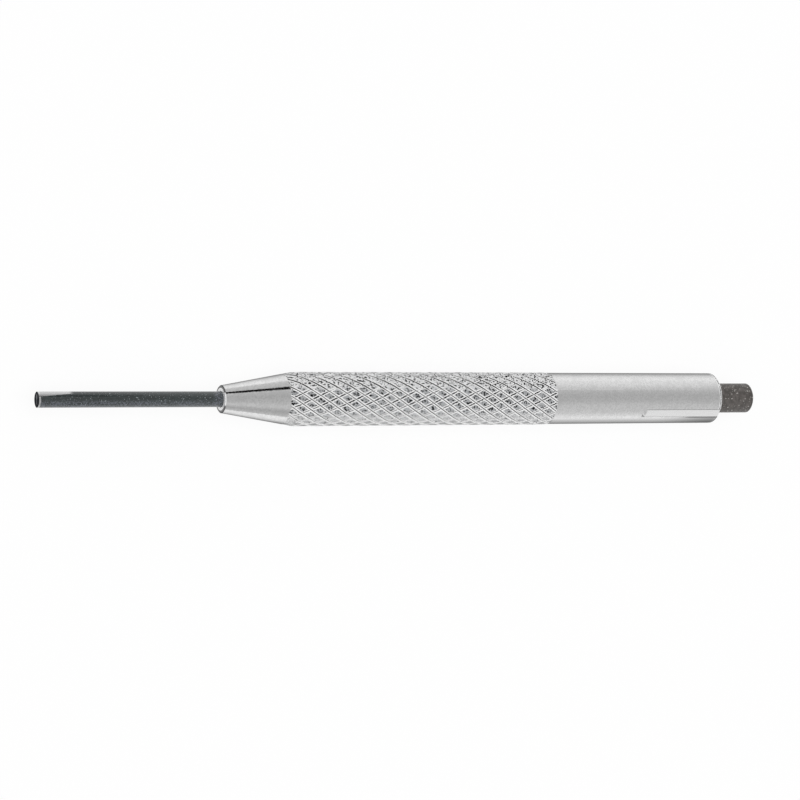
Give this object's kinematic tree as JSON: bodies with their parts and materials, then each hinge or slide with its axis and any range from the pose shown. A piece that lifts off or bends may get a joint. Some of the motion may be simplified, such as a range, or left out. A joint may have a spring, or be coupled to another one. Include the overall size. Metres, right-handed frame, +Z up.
{
  "type": "pin punch",
  "caption": "Pin punch with a thin drift pin that a knurled, tapered guide sleeve slides over, and a plain struck rod end.",
  "frame": {"origin": "on the bench under the middle of the punch's length, with the punch lying on its sleeve", "axes": "+X along the punch from the pin's tip to the struck end, +Z up from the bench, and the sleeve's slot with its clamp spring faces up and to the front, 37.5 degrees from +Z towards -Y"},
  "size_m": [0.15, 0.0102, 0.0101],
  "materials": {
    "nickel": "satin nickel plate",
    "rod_steel": "dark hardened steel, matte",
    "pin_steel": "dark blued steel, ground",
    "spring_steel": "bright rolled strip"
  },
  "bodies": {
    "sleeve": {"guide_sleeve": "nickel", "clamp_spring": "spring_steel"},
    "punch": {"striking_rod": "rod_steel", "drift_pin": "pin_steel"}
  },
  "joints": [
    {"name": "punch_slide", "type": "slide", "parent": "sleeve", "child": "punch", "axis": [1, 0, 0], "range_m": [0, 0.035]}
  ]
}
